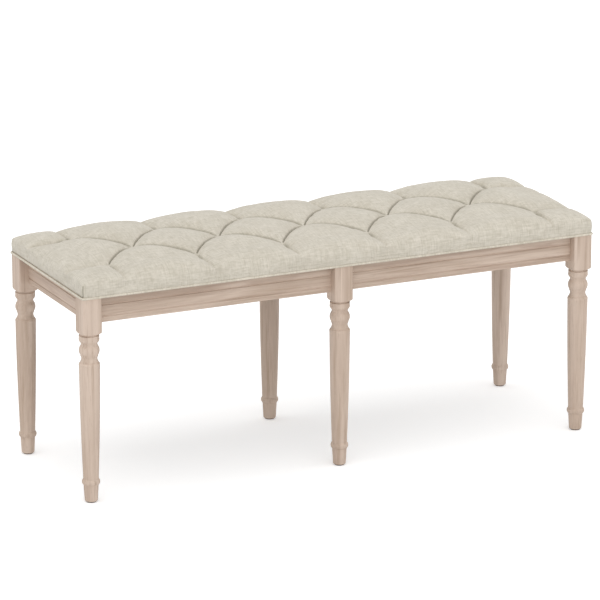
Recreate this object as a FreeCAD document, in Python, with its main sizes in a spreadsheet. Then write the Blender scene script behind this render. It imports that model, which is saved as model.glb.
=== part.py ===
import FreeCAD, Part
import math
import os
import Sketcher

# Tufted bench on six turned legs.
# Millimetres, +X along the bench to the right, +Y to the back, +Z up, origin on the floor under its centre.

SIZES = {
    # frame
    "leg_pitch": 538.0,
    "leg_rows_apart": 333.0,
    "frame_top": 416.0,
    "block_side": 40.0,
    "block_height": 72.0,
    "block_edge": 3.0,
    "rail_height": 55.0,
    "rail_thick": 20.0,
    "rail_setback": 20.0,
    "rail_edge": 3.0,
    "lower_groove": 12.5,
    "upper_groove": 35.5,
    "groove_width": 3.4,
    "groove_depth": 1.5,
    "band_swell": 1.0,
    "cross_rail_height": 45.0,
    # turning of the legs, from the floor up
    "glide_thick": 2.0,
    "foot_diameter": 26.0,
    "foot_edge": 2.0,
    "ankle_height": 35.0,
    "ankle_diameter": 29.6,
    "ring_height": 12.5,
    "ring_swell": 2.9,
    "shaft_low_diameter": 30.6,
    "shaft_top_height": 278.5,
    "shaft_top_diameter": 41.2,
    "shaft_swell": 0.8,
    "shoulder_rise": 7.0,
    "shoulder_swell": 1.5,
    "fillet_diameter": 35.0,
    "fillet_height": 2.0,
    "neck_height": 11.0,
    "neck_depth": 1.7,
    "bead_height": 18.0,
    "bead_swell": 2.8,
    "cove_height": 7.5,
    "cove_depth": 1.3,
    "collar_rise": 8.0,
    "collar_diameter": 40.0,
    "collar_height": 5.5,
    "collar_swell": 1.2,
    "neck_under_block": 4.5,
    "groove_under_block": 1.5,
    "block_shoulder_radius": 20.8,
    "block_shoulder_rise": 11.0,
    "block_shoulder_swell": 3.2,
    "block_shoulder_past": 0.75,
    # dowels and their holes
    "dowel_diameter": 8.0,
    "dowel_length": 36.0,
    "dowel_clearance": 0.2,
    "dowel_end_gap": 0.5,
    "long_dowel_low": 10.0,
    "long_dowel_high": 38.0,
    "end_dowel_low": 19.0,
    "end_dowel_high": 47.0,
    # corner blocks and fasteners
    "corner_block_height": 40.0,
    "corner_block_inner": 80.0,
    "corner_block_outer": 46.0,
    "bolt_diameter": 8.0,
    "bolt_height": 28.5,
    "bolt_in_leg": 16.0,
    "bolt_past_nut": 5.0,
    "bolt_clearance": 0.3,
    "bolt_end_gap": 0.5,
    "washer_diameter": 22.0,
    "washer_thick": 1.8,
    "nut_across_flats": 13.0,
    "nut_thick": 6.5,
    "screw_diameter": 4.0,
    "screw_head_diameter": 8.0,
    "screw_head_thick": 2.6,
    "screw_point": 4.0,
    "screw_clearance": 0.3,
    "head_clearance": 0.6,
    "block_screw_out": 62.0,
    "block_screw_seat": 10.0,
    "block_screw_in_rail": 14.0,
    "block_screw_low": 10.0,
    "block_screw_high": 30.0,
    "seat_screw_out": 47.0,
    "seat_screw_side": 16.0,
    "seat_screw_recess": 4.0,
    "seat_screw_in_board": 9.0,
    "cross_screw_spacing": 150.0,
    # glides
    "glide_diameter": 20.0,
    "glide_edge": 0.6,
    "glide_nail_diameter": 2.6,
    "glide_nail_length": 14.0,
    "glide_nail_clearance": 0.2,
    # seat: heights are above the top of the frame
    "dust_cover_thick": 0.6,
    "dust_cover_inset": 8.0,
    "board_thick": 12.0,
    "board_corner": 6.5,
    "cover_thick": 1.5,
    "layer_gap": 0.3,
    "welt_diameter": 4.6,
    "welt_corner": 5.0,
    "batting_thick": 8.0,
    "corner_round": 5.0,
    "side_height": 30.0,
    "tuft_height": 39.5,
    "pleat_shoulder_height": 41.0,
    "crown_shoulder_height": 52.0,
    "end_pleat_height": 38.5,
    "end_crown_height": 46.0,
    "crest_height": 61.5,
    "crease_rise": 5.0,
    "shoulder_run": 46.0,
    "pleat_draw": 2.0,
    "tuft_half_width": 4.0,
    "tuft_gather_rise": 0.5,
    "tuft_end_margin": 90.5,
    "tuft_side_margin": 87.5,
    # ties
    "twine_diameter": 2.0,
    "twine_clearance": 0.6,
    "toggle_diameter": 14.0,
    "toggle_thick": 2.0,
    "toggle_recess": 2.6,
    "toggle_clearance": 1.0,
}

# columns of tufts in the front and back rows, and so one fewer in the middle row
TUFTS_IN_OUTER_ROWS = 6

# how far the cushion's top stands above its chord across the bench, as a share of that chord
PLEAT_ARCH = 0.05
CROWN_ARCH = 0.11

# where the seat's sections are: as shares of half a cell, of the level stretch past the last tuft and of the
# rounded end, close together where the cushion turns steeply
CELL_STEPS = (0.0, 0.12, 0.3, 0.5, 0.7, 0.88)
LEVEL_STEPS = (0.0, 0.15, 0.4, 0.7, 1.0)
ROUND_STEPS = (0.35, 0.6, 0.8, 0.92, 0.98, 1.0)

# how far the rounded end and its corners are followed before the flat end face
LAST_ROUND_SHARE = 0.985
LAST_CORNER_SHARE = 0.97

ROOT_HALF = math.sqrt(0.5)

# how far a quarter round stands above its chord, as a share of its radius
QUARTER_SWELL = 1 - ROOT_HALF

# how far a quarter of an oval stands above its chord, as a share of its width times its height over the chord
OVAL_SWELL = math.sqrt(2) - 1

doc = FreeCAD.newDocument("bench")
sheet = doc.addObject("Spreadsheet::Sheet", "Sizes")
for row, (name, length) in enumerate(SIZES.items(), start=1):
    sheet.set("A" + str(row), name.replace("_", " "))
    sheet.set("B" + str(row), str(length))
    sheet.setAlias("B" + str(row), name)
doc.recompute()


class Length:
    """A number together with the formula that gives it from the named sizes."""

    def __init__(self, number, formula):
        self.number = number
        self.formula = formula

    def __add__(self, other):
        other = as_length(other)
        return Length(self.number + other.number, "(" + self.formula + " + " + other.formula + ")")

    def __sub__(self, other):
        other = as_length(other)
        return Length(self.number - other.number, "(" + self.formula + " - " + other.formula + ")")

    def __mul__(self, other):
        other = as_length(other)
        return Length(self.number * other.number, "(" + self.formula + " * " + other.formula + ")")

    def __truediv__(self, other):
        other = as_length(other)
        return Length(self.number / other.number, "(" + self.formula + " / " + other.formula + ")")

    def __neg__(self):
        return self * -1.0

    __radd__ = __add__
    __rmul__ = __mul__


def as_length(value):
    if isinstance(value, Length):
        return value
    return Length(float(value), repr(float(value)))


def size(name):
    return Length(float(sheet.get(name)), "Sizes." + name)


def bind(item, path, length):
    """Tie a property of the item to a formula of the named sizes."""
    item.setExpression(path, as_length(length).formula)


def place(item, x, y, z, axis=(0, 0, 1), angle=0.0):
    item.Placement = FreeCAD.Placement(
        FreeCAD.Vector(*(as_length(v).number for v in (x, y, z))),
        FreeCAD.Rotation(FreeCAD.Vector(*axis), angle),
    )
    for letter, value in zip("xyz", (x, y, z)):
        bind(item, "Placement.Base." + letter, value)


# shared places

half_length = size("leg_pitch") + size("block_side") / 2
half_depth = (size("leg_rows_apart") + size("block_side")) / 2
leg_face_x = size("leg_pitch") - size("block_side") / 2
leg_face_y = (size("leg_rows_apart") - size("block_side")) / 2
rail_outer_x = half_length - size("rail_setback")
rail_outer_y = half_depth - size("rail_setback")
rail_inner_x = rail_outer_x - size("rail_thick")
rail_inner_y = rail_outer_y - size("rail_thick")
rail_middle_x = rail_outer_x - size("rail_thick") / 2
rail_middle_y = rail_outer_y - size("rail_thick") / 2
rail_bottom = size("frame_top") - size("rail_height")
block_bottom = size("frame_top") - size("block_height")
corner_block_bottom = size("frame_top") - size("corner_block_height")
long_rail_length = size("leg_pitch") - size("block_side")
end_rail_length = size("leg_rows_apart") - size("block_side")
board_bottom = size("frame_top") + size("dust_cover_thick")
board_top = board_bottom + size("board_thick")
dowel_hole_radius = (size("dowel_diameter") + size("dowel_clearance")) / 2
dowel_hole_depth = size("dowel_length") / 2 + size("dowel_end_gap")
long_dowel_heights = [rail_bottom + size("long_dowel_low"), rail_bottom + size("long_dowel_high")]
end_dowel_heights = [rail_bottom + size("end_dowel_low"), rail_bottom + size("end_dowel_high")]
bolt_z = rail_bottom + size("bolt_height")
bolt_hole_radius = (size("bolt_diameter") + size("bolt_clearance")) / 2
screw_hole_radius = (size("screw_diameter") + size("screw_clearance")) / 2
block_screw_heights = [
    corner_block_bottom + size("block_screw_low"),
    corner_block_bottom + size("block_screw_high"),
]
tuft_pitch = (half_length - size("tuft_end_margin")) * 2.0 / (TUFTS_IN_OUTER_ROWS - 1)
tuft_row_y = half_depth - size("tuft_side_margin")

# a quarter turn for each inner corner, its local x and y along the two rails that meet there
CORNERS = {
    "front_left": (-1, -1, 0),
    "front_right": (1, -1, 90),
    "back_right": (1, 1, 180),
    "back_left": (-1, 1, 270),
}
QUARTER = {0: (1, 0), 90: (0, 1), 180: (-1, 0), 270: (0, -1)}


def corner_place(corner, along, across):
    """The place of a local point of an inner corner, along and across the rail that its local x follows."""
    side_x, side_y, turned = CORNERS[corner]
    cos, sin = QUARTER[turned]
    x = rail_inner_x * side_x + as_length(along) * cos - as_length(across) * sin
    y = rail_inner_y * side_y + as_length(along) * sin + as_length(across) * cos
    return x, y


# sketches and features

nodes = {}


def new_body(label):
    body = doc.addObject("PartDesign::Body", label)
    body.Label = label
    return body


def origin_plane(body, role):
    return next(item for item in body.Origin.OriginFeatures if item.Role == role)


def new_sketch(body, name, role, rise=None):
    sketch = body.newObject("Sketcher::SketchObject", body.Label + "_" + name)
    sketch.AttachmentSupport = (origin_plane(body, role), [""])
    sketch.MapMode = "FlatFace"
    if rise is not None:
        sketch.AttachmentOffset.Base.z = rise.number
        bind(sketch, "AttachmentOffset.Base.z", rise)
    return sketch


def pin_point(sketch, curve, end, x, y):
    """Hold one end of a curve at x, y from the sketch's origin."""
    for kind, axis, value in (("DistanceX", -2, as_length(x)), ("DistanceY", -1, as_length(y))):
        if value.number == 0.0:
            sketch.addConstraint(Sketcher.Constraint("PointOnObject", curve, end, axis))
            continue
        index = sketch.addConstraint(Sketcher.Constraint(kind, -1, 1, curve, end, value.number))
        sketch.setExpression("Constraints[" + str(index) + "]", value.formula)


def draw_outline(sketch, stations):
    """A closed outline through stations of x, y and swell.

    A swell makes the stretch to the next station an arc, which stands that far to the right of its chord.
    """
    points = [(as_length(x), as_length(y)) for x, y, swell in stations]
    joints = []
    for index, (x, y, swell) in enumerate(stations):
        start = points[index]
        end = points[(index + 1) % len(points)]
        first = FreeCAD.Vector(start[0].number, start[1].number, 0)
        last = FreeCAD.Vector(end[0].number, end[1].number, 0)
        if swell is None:
            curve = sketch.addGeometry(Part.LineSegment(first, last), False)
            joints.append((curve, 1, 2))
            continue
        swell = as_length(swell)
        run = last - first
        side = FreeCAD.Vector(run.y, -run.x, 0).normalize()
        middle = (first + last) * 0.5 + side * swell.number
        curve = sketch.addGeometry(Part.Arc(first, middle, last), False)
        forward = sketch.getPoint(curve, 1).distanceToPoint(first) < 1e-6
        joints.append((curve, 1, 2) if forward else (curve, 2, 1))
        across = end[0] - start[0]
        up = end[1] - start[1]
        radius = (across * across + up * up) / (swell * 8.0) + swell / 2.0
        if radius.number < 0:
            radius = -radius
        bend = sketch.addConstraint(Sketcher.Constraint("Radius", curve, radius.number))
        sketch.setExpression("Constraints[" + str(bend) + "]", radius.formula)
    for index, (curve, start, end) in enumerate(joints):
        follower, next_start, _ = joints[(index + 1) % len(joints)]
        sketch.addConstraint(Sketcher.Constraint("Coincident", curve, end, follower, next_start))
        pin_point(sketch, curve, start, *points[index])
    return sketch


def centred_rectangle(sketch, width, depth):
    corners = [(-1, -1), (1, -1), (1, 1), (-1, 1)]
    ends = [FreeCAD.Vector(x * width.number / 2, y * depth.number / 2, 0) for x, y in corners]
    for index in range(4):
        sketch.addGeometry(Part.LineSegment(ends[index], ends[(index + 1) % 4]), False)
    for index in range(4):
        sketch.addConstraint(Sketcher.Constraint("Coincident", index, 2, (index + 1) % 4, 1))
    for index, kind in enumerate(("Horizontal", "Vertical", "Horizontal", "Vertical")):
        sketch.addConstraint(Sketcher.Constraint(kind, index))
    sketch.addConstraint(Sketcher.Constraint("Symmetric", 0, 1, 2, 1, -1, 1))
    wide = sketch.addConstraint(Sketcher.Constraint("DistanceX", 0, 1, 0, 2, width.number))
    deep = sketch.addConstraint(Sketcher.Constraint("DistanceY", 1, 1, 1, 2, depth.number))
    sketch.setExpression("Constraints[" + str(wide) + "]", width.formula)
    sketch.setExpression("Constraints[" + str(deep) + "]", depth.formula)
    return sketch


def pad(body, sketch, length):
    feature = body.newObject("PartDesign::Pad", sketch.Label + "_pad")
    feature.Profile = sketch
    feature.Length = length.number
    bind(feature, "Length", length)
    return feature


def turn(body, kind, sketch):
    feature = body.newObject("PartDesign::" + kind, sketch.Label + "_turned")
    feature.Profile = sketch
    feature.ReferenceAxis = (sketch, ["V_Axis"])
    feature.Angle = 360.0
    return feature


def toward(x, y):
    """The turn that takes a z axis to the level heading x, y, as an axis and an angle."""
    way = FreeCAD.Rotation(FreeCAD.Vector(0, 0, 1), FreeCAD.Vector(x, y, 0))
    return tuple(way.Axis), math.degrees(way.Angle)


def drill(body, name, radius, depth, x, y, z, axis=(0, 0, 1), angle=0.0):
    """Take a round hole out of the body, from x, y, z along its turned z axis."""
    hole = body.newObject("PartDesign::SubtractiveCylinder", body.Label + "_" + name)
    hole.Radius = as_length(radius).number
    hole.Height = as_length(depth).number
    bind(hole, "Radius", radius)
    bind(hole, "Height", depth)
    place(hole, x, y, z, axis, angle)
    return hole


# the way each hole runs, as a turn that takes its z axis there
TO_RIGHT = ((0, 1, 0), 90.0)
TO_LEFT = ((0, 1, 0), -90.0)
TO_BACK = ((1, 0, 0), -90.0)
TO_FRONT = ((1, 0, 0), 90.0)


# legs


def turning_stations():
    """The turned outline of a leg, from the axis at the glide up to the block."""
    foot = size("foot_diameter") / 2
    ankle = size("ankle_diameter") / 2
    shaft_low = size("shaft_low_diameter") / 2
    shaft_top = size("shaft_top_diameter") / 2
    fillet = size("fillet_diameter") / 2
    collar = size("collar_diameter") / 2
    ring_top = size("ankle_height") + size("ring_height")
    bottom = size("glide_thick")
    # the members above the shaft share the stretch up to the block in proportion to their heights
    shoulder_top = size("shoulder_rise")
    neck_bottom = shoulder_top + size("fillet_height")
    neck_top = neck_bottom + size("neck_height")
    bead_bottom = neck_top + size("fillet_height")
    bead_top = bead_bottom + size("bead_height")
    cove_top = bead_top + size("cove_height")
    collar_bottom = cove_top + size("collar_rise")
    collar_top = collar_bottom + size("collar_height")
    share = (block_bottom - size("shaft_top_height")) / (collar_top + size("neck_under_block"))

    def level(rise):
        return size("shaft_top_height") + rise * share

    return [
        (0, bottom, None),
        (foot - size("foot_edge"), bottom, size("foot_edge") * QUARTER_SWELL),
        (foot, bottom + size("foot_edge"), None),
        (ankle, size("ankle_height"), size("ring_swell")),
        (shaft_low, ring_top, size("shaft_swell")),
        (shaft_top, size("shaft_top_height"), size("shoulder_swell") * share),
        (fillet, level(shoulder_top), None),
        (fillet, level(neck_bottom), -size("neck_depth") * share),
        (fillet, level(neck_top), None),
        (fillet, level(bead_bottom), size("bead_swell") * share),
        (fillet, level(bead_top), -size("cove_depth") * share),
        (fillet, level(cove_top), size("collar_swell") * share),
        (collar, level(collar_bottom), None),
        (collar, level(collar_top), None),
        (fillet, level(collar_top + size("groove_under_block") / 2), None),
        (fillet, block_bottom, None),
        (0, block_bottom, None),
    ]


def block_shoulder_stations():
    """What the lathe takes off the lower corners of the square block."""
    radius = size("block_shoulder_radius")
    outside = size("block_side")
    shoulder_top = block_bottom + size("block_shoulder_rise")
    below = block_bottom - size("groove_under_block") / 2
    past_corner = size("block_side") * ROOT_HALF + size("block_shoulder_past")
    return [
        (radius, below, None),
        (outside, below, None),
        (outside, shoulder_top, None),
        (past_corner, shoulder_top, -size("block_shoulder_swell")),
        (radius, block_bottom, None),
    ]


def make_leg(label, side_x, side_y):
    """A leg. side_x is -1, 0 or 1 for left, middle or right, and side_y is -1 in front or 1 at the back."""
    body = new_body(label)
    turn(body, "Revolution", draw_outline(new_sketch(body, "turning", "XZ_Plane"), turning_stations()))
    square = new_sketch(body, "square", "XY_Plane", block_bottom)
    block = pad(body, centred_rectangle(square, size("block_side"), size("block_side")), size("block_height"))
    body.recompute(True)
    half = size("block_side").number / 2
    upright = []
    for index, edge in enumerate(block.Shape.Edges, start=1):
        middle = edge.CenterOfMass
        if abs(abs(middle.x) - half) < 1e-4 and abs(abs(middle.y) - half) < 1e-4:
            upright.append("Edge" + str(index))
    eased = body.newObject("PartDesign::Fillet", label + "_eased")
    eased.Base = (block, upright)
    eased.Radius = size("block_edge").number
    bind(eased, "Radius", size("block_edge"))
    turn(body, "Groove", draw_outline(new_sketch(body, "shoulders", "XZ_Plane"), block_shoulder_stations()))
    face = size("block_side") / 2
    rail_y = (rail_middle_y - size("leg_rows_apart") / 2) * side_y
    rail_x = (rail_middle_x - size("leg_pitch")) * side_x
    sides = [-side_x] if side_x else [-1, 1]
    for side in sides:
        for number, height in enumerate(long_dowel_heights):
            name = "long_dowel_" + str(number)
            axis, angle = TO_LEFT if side > 0 else TO_RIGHT
            drill(body, name, dowel_hole_radius, dowel_hole_depth, face * side, rail_y, height, axis, angle)
    for number, height in enumerate(end_dowel_heights):
        name = "end_dowel_" + str(number)
        axis, angle = TO_BACK if side_y > 0 else TO_FRONT
        drill(body, name, dowel_hole_radius, dowel_hole_depth, rail_x, face * -side_y, height, axis, angle)
    if side_x:
        diagonal_x = (rail_inner_x - size("leg_pitch")) * side_x
        diagonal_y = (rail_inner_y - size("leg_rows_apart") / 2) * side_y
        reach = size("bolt_in_leg") + size("bolt_end_gap")
        drill(body, "bolt", bolt_hole_radius, reach, diagonal_x, diagonal_y, bolt_z, *toward(side_x, side_y))
    nail_radius = (size("glide_nail_diameter") + size("glide_nail_clearance")) / 2
    drill(body, "nail", nail_radius, size("glide_nail_length") + size("glide_nail_clearance"), 0, 0, 0)
    place(body, size("leg_pitch") * side_x, size("leg_rows_apart") / 2 * side_y, 0)
    nodes[label] = body


# rails


def rail_stations():
    """Section of a moulded rail: two grooves part its outer face, and the band between them swells."""
    thick = size("rail_thick")
    edge = size("rail_edge")
    half_groove = size("groove_width") / 2
    lower = size("lower_groove")
    upper = size("upper_groove")
    return [
        (0, 0, None),
        (thick - edge, 0, edge * QUARTER_SWELL),
        (thick, edge, None),
        (thick, lower - half_groove, -size("groove_depth")),
        (thick, lower + half_groove, size("band_swell")),
        (thick, upper - half_groove, -size("groove_depth")),
        (thick, upper + half_groove, None),
        (thick, size("rail_height"), None),
        (0, size("rail_height"), None),
    ]


def make_rail(label, length, dowel_heights, bolt_corners, screws, x, y, angle):
    """A moulded rail. Its local x runs along it, and its inner face is at local y = 0.

    bolt_corners are the local x of the seat frame's inner corners at its ends, where the bolts pass, with the
    way to the leg, and screws are the local x of the corner blocks' screws.
    """
    body = new_body(label)
    pad(body, draw_outline(new_sketch(body, "section", "YZ_Plane"), rail_stations()), length)
    middle = size("rail_thick") / 2
    for number, height in enumerate(dowel_heights):
        level = height - rail_bottom
        name = "dowel_" + str(number)
        drill(body, "left_" + name, dowel_hole_radius, dowel_hole_depth, 0, middle, level, *TO_RIGHT)
        drill(body, "right_" + name, dowel_hole_radius, dowel_hole_depth, length, middle, level, *TO_LEFT)
    for corner_x, side in bolt_corners:
        start = size("bolt_diameter") * ROOT_HALF
        name = "bolt_notch_" + ("right" if side > 0 else "left")
        level = bolt_z - rail_bottom
        notch_x = corner_x - start * side
        drill(body, name, bolt_hole_radius, size("bolt_diameter") * 2, notch_x, -start, level, *toward(side, 1))
    pilot = size("block_screw_in_rail") + size("screw_clearance")
    for end, along in enumerate(screws):
        for number, height in enumerate(block_screw_heights):
            name = "screw_" + str(end) + "_" + str(number)
            drill(body, name, screw_hole_radius, pilot, along, 0, height - rail_bottom, *TO_BACK)
    place(body, x, y, rail_bottom, (0, 0, 1), angle)
    nodes[label] = body


def make_rails():
    leg_half = size("block_side") / 2
    # the seat frame's inner corners lie this far past the leg's faces
    past_x = rail_inner_x - leg_face_x
    past_y = rail_inner_y - leg_face_y
    screw_out = size("block_screw_out")
    low_end = ([(-past_x, -1)], [screw_out - past_x])
    high_end = ([(long_rail_length + past_x, 1)], [long_rail_length + past_x - screw_out])
    long_rails = (
        # name, where its local x starts, its inner face, its turn, and which of its ends is at a corner
        ("front_rail_left", -leg_half, -rail_inner_y, 180, high_end),
        ("front_rail_right", leg_face_x, -rail_inner_y, 180, low_end),
        ("back_rail_left", -leg_face_x, rail_inner_y, 0, low_end),
        ("back_rail_right", leg_half, rail_inner_y, 0, high_end),
    )
    for name, x, y, angle, (corners, screws) in long_rails:
        make_rail(name, long_rail_length, long_dowel_heights, corners, screws, x, y, angle)
    corners = [(-past_y, -1), (end_rail_length + past_y, 1)]
    screws = [screw_out - past_y, end_rail_length + past_y - screw_out]
    make_rail("end_rail_left", end_rail_length, end_dowel_heights, corners, screws, -rail_inner_x, -leg_face_y, 90)
    make_rail("end_rail_right", end_rail_length, end_dowel_heights, corners, screws, rail_inner_x, leg_face_y, 270)


def make_cross_rail():
    """The plain rail from the front middle leg to the back one."""
    body = new_body("cross_rail")
    bottom = size("frame_top") - size("cross_rail_height")
    section = centred_rectangle(new_sketch(body, "plan", "XY_Plane"), size("rail_thick"), end_rail_length)
    pad(body, section, size("cross_rail_height"))
    for number, height in enumerate(end_dowel_heights):
        level = height - bottom
        name = "dowel_" + str(number)
        drill(body, "front_" + name, dowel_hole_radius, dowel_hole_depth, 0, -leg_face_y, level, *TO_BACK)
        drill(body, "back_" + name, dowel_hole_radius, dowel_hole_depth, 0, leg_face_y, level, *TO_FRONT)
    head_radius = (size("screw_head_diameter") + size("head_clearance")) / 2
    for number, side in enumerate((-1, 1)):
        y = size("cross_screw_spacing") / 2 * side
        drill(body, "screw_" + str(number), screw_hole_radius, size("cross_rail_height"), 0, y, 0)
        drill(body, "head_" + str(number), head_radius, size("seat_screw_recess"), 0, y, 0)
    place(body, 0, 0, bottom)
    nodes["cross_rail"] = body


# corner blocks


def make_corner_block(corner):
    """A diagonal brace, mitred at both ends, against the inner faces of two rails."""
    body = new_body("corner_block_" + corner)
    inner = size("corner_block_inner")
    outer = size("corner_block_outer")
    height = size("corner_block_height")
    stations = [(outer, 0, None), (inner, 0, None), (0, inner, None), (0, outer, None)]
    pad(body, draw_outline(new_sketch(body, "plan", "XY_Plane"), stations), height)
    drill(body, "bolt", bolt_hole_radius, inner, 0, 0, bolt_z - corner_block_bottom, *toward(1, 1))
    head_radius = (size("screw_head_diameter") + size("head_clearance")) / 2
    out = size("block_screw_out")
    head_place = size("block_screw_seat")
    for number, level in enumerate((size("block_screw_low"), size("block_screw_high"))):
        drill(body, "screw_a_" + str(number), screw_hole_radius, inner, out, 0, level, *TO_BACK)
        drill(body, "head_a_" + str(number), head_radius, inner, out, head_place, level, *TO_BACK)
        drill(body, "screw_b_" + str(number), screw_hole_radius, inner, 0, out, level, *TO_RIGHT)
        drill(body, "head_b_" + str(number), head_radius, inner, head_place, out, level, *TO_RIGHT)
    seat_screw = (size("seat_screw_out"), size("seat_screw_side"), 0)
    drill(body, "seat_screw", screw_hole_radius, height, *seat_screw)
    drill(body, "seat_head", head_radius, size("seat_screw_recess"), *seat_screw)
    x, y = corner_place(corner, 0, 0)
    place(body, x, y, corner_block_bottom, (0, 0, 1), CORNERS[corner][2])
    nodes["corner_block_" + corner] = body


# groups of equal small pieces


def rod(name, radius, height, x, y, z, axis=(0, 0, 1), angle=0.0):
    item = doc.addObject("Part::Cylinder", name)
    item.Radius = as_length(radius).number
    item.Height = as_length(height).number
    bind(item, "Radius", radius)
    bind(item, "Height", height)
    place(item, x, y, z, axis, angle)
    return item


def less(name, base, tool):
    item = doc.addObject("Part::Cut", name)
    item.Base = base
    item.Tool = tool
    return item


def group(name, members):
    item = doc.addObject("Part::Compound", name)
    item.Links = members
    item.Label = name
    return item


def make_dowels():
    radius = size("dowel_diameter") / 2
    length = size("dowel_length")
    half = length / 2
    members = []
    for side_y in (-1, 1):
        for face in (-leg_face_x, -size("block_side") / 2, size("block_side") / 2, leg_face_x):
            for height in long_dowel_heights:
                name = "long_dowel_" + str(len(members))
                y = rail_middle_y * side_y
                members.append(rod(name, radius, length, face - half, y, height, *TO_RIGHT))
    for x in (-rail_middle_x, as_length(0), rail_middle_x):
        for face in (-leg_face_y, leg_face_y):
            for height in end_dowel_heights:
                name = "end_dowel_" + str(len(members))
                members.append(rod(name, radius, length, x, face - half, height, *TO_BACK))
    nodes["rail_dowels"] = group("rail_dowels", members)


def make_corner_hardware():
    """A hanger bolt, a washer and a nut on each corner block's diagonal."""
    face_run = size("corner_block_inner") * ROOT_HALF
    bolt_end = face_run + size("washer_thick") + size("nut_thick") + size("bolt_past_nut")
    bolt_length = bolt_end + size("bolt_in_leg")
    bolts = []
    washers = []
    nuts = []
    for corner, (side_x, side_y, _) in CORNERS.items():
        inward = toward(-side_x, -side_y)
        from_leg = -size("bolt_in_leg") * ROOT_HALF
        x, y = corner_place(corner, from_leg, from_leg)
        bolts.append(rod("bolt_" + corner, size("bolt_diameter") / 2, bolt_length, x, y, bolt_z, *inward))
        on_face = face_run * ROOT_HALF
        x, y = corner_place(corner, on_face, on_face)
        thick = size("washer_thick")
        disc = rod("washer_disc_" + corner, size("washer_diameter") / 2, thick, x, y, bolt_z, *inward)
        bore = rod("washer_bore_" + corner, bolt_hole_radius, thick, x, y, bolt_z, *inward)
        washers.append(less("washer_" + corner, disc, bore))
        on_washer = (face_run + thick) * ROOT_HALF
        x, y = corner_place(corner, on_washer, on_washer)
        prism = doc.addObject("Part::Prism", "nut_prism_" + corner)
        prism.Polygon = 6
        circumradius = size("nut_across_flats") / math.sqrt(3.0)
        prism.Circumradius = circumradius.number
        prism.Height = size("nut_thick").number
        bind(prism, "Circumradius", circumradius)
        bind(prism, "Height", size("nut_thick"))
        place(prism, x, y, bolt_z, *inward)
        bore = rod("nut_bore_" + corner, bolt_hole_radius, size("nut_thick"), x, y, bolt_z, *inward)
        nuts.append(less("nut_" + corner, prism, bore))
    nodes["corner_bolts"] = group("corner_bolts", bolts)
    nodes["corner_washers"] = group("corner_washers", washers)
    nodes["corner_nuts"] = group("corner_nuts", nuts)


def screw(name, length, x, y, z, axis=(0, 0, 1), angle=0.0):
    """A flat-headed screw, its head's outer face at x, y, z and its point along the turned z axis."""
    head = rod(name + "_head", size("screw_head_diameter") / 2, size("screw_head_thick"), 0, 0, 0)
    shank = rod(name + "_shank", size("screw_diameter") / 2, length - size("screw_point"), 0, 0, 0)
    point = doc.addObject("Part::Cone", name + "_point")
    point.Radius1 = size("screw_diameter").number / 2
    point.Radius2 = 0.0
    point.Height = size("screw_point").number
    bind(point, "Radius1", size("screw_diameter") / 2)
    bind(point, "Height", size("screw_point"))
    place(point, 0, 0, length - size("screw_point"))
    item = doc.addObject("Part::MultiFuse", name)
    item.Shapes = [head, shank, point]
    place(item, x, y, z, axis, angle)
    return item


def make_screws():
    into_rail = []
    reach = size("block_screw_seat") + size("screw_head_thick") + size("block_screw_in_rail")
    head_run = size("block_screw_seat") + size("screw_head_thick")
    out = size("block_screw_out")
    for corner, (_, _, turned) in CORNERS.items():
        cos, sin = QUARTER[turned]
        for height in block_screw_heights:
            for start, heading in (((out, head_run), (sin, -cos)), ((head_run, out), (-cos, -sin))):
                x, y = corner_place(corner, *start)
                name = "block_screw_" + str(len(into_rail))
                into_rail.append(screw(name, reach, x, y, height, *toward(*heading)))
    nodes["block_screws"] = group("block_screws", into_rail)
    into_board = []
    head_in = size("seat_screw_recess") - size("screw_head_thick")
    bottom = corner_block_bottom + head_in
    top = board_bottom + size("seat_screw_in_board")
    for corner in CORNERS:
        x, y = corner_place(corner, size("seat_screw_out"), size("seat_screw_side"))
        into_board.append(screw("seat_screw_" + str(len(into_board)), top - bottom, x, y, bottom))
    bottom = size("frame_top") - size("cross_rail_height") + head_in
    for side in (-1, 1):
        y = size("cross_screw_spacing") / 2 * side
        into_board.append(screw("seat_screw_" + str(len(into_board)), top - bottom, 0, y, bottom))
    nodes["seat_screws"] = group("seat_screws", into_board)


def make_glides():
    members = []
    for side_x in (-1, 0, 1):
        for side_y in (-1, 1):
            name = "glide_" + str(len(members))
            x = size("leg_pitch") * side_x
            y = size("leg_rows_apart") / 2 * side_y
            disc = rod(name + "_disc", size("glide_diameter") / 2, size("glide_thick"), 0, 0, 0)
            rim = doc.addObject("Part::Fillet", name + "_rim")
            rim.Base = disc
            disc.recompute()
            lowest = [
                index
                for index, edge in enumerate(disc.Shape.Edges, start=1)
                if abs(edge.CenterOfMass.z) < 1e-6 and edge.Closed
            ]
            rim.Edges = [(index, size("glide_edge").number, size("glide_edge").number) for index in lowest]
            inside = size("glide_thick") / 2
            length = size("glide_nail_length") - inside
            nail = rod(name + "_nail", size("glide_nail_diameter") / 2, length, 0, 0, inside)
            glide = doc.addObject("Part::MultiFuse", name)
            glide.Shapes = [rim, nail]
            place(glide, x, y, 0)
            members.append(glide)
    nodes["foot_glides"] = group("foot_glides", members)


# seat


def tuft_places():
    """The tufts as x, y: two outer rows, and a middle row half a pitch out of step."""
    places = []
    half_row = (TUFTS_IN_OUTER_ROWS - 1) / 2.0
    for column in range(TUFTS_IN_OUTER_ROWS):
        for side in (-1, 1):
            places.append((tuft_pitch * (column - half_row), tuft_row_y * side))
    for column in range(TUFTS_IN_OUTER_ROWS - 1):
        places.append((tuft_pitch * (column - half_row + 0.5), as_length(0)))
    return places


def seat_screw_places():
    places = [corner_place(corner, size("seat_screw_out"), size("seat_screw_side")) for corner in CORNERS]
    for side in (-1, 1):
        places.append((as_length(0), size("cross_screw_spacing") / 2 * side))
    return places


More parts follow.
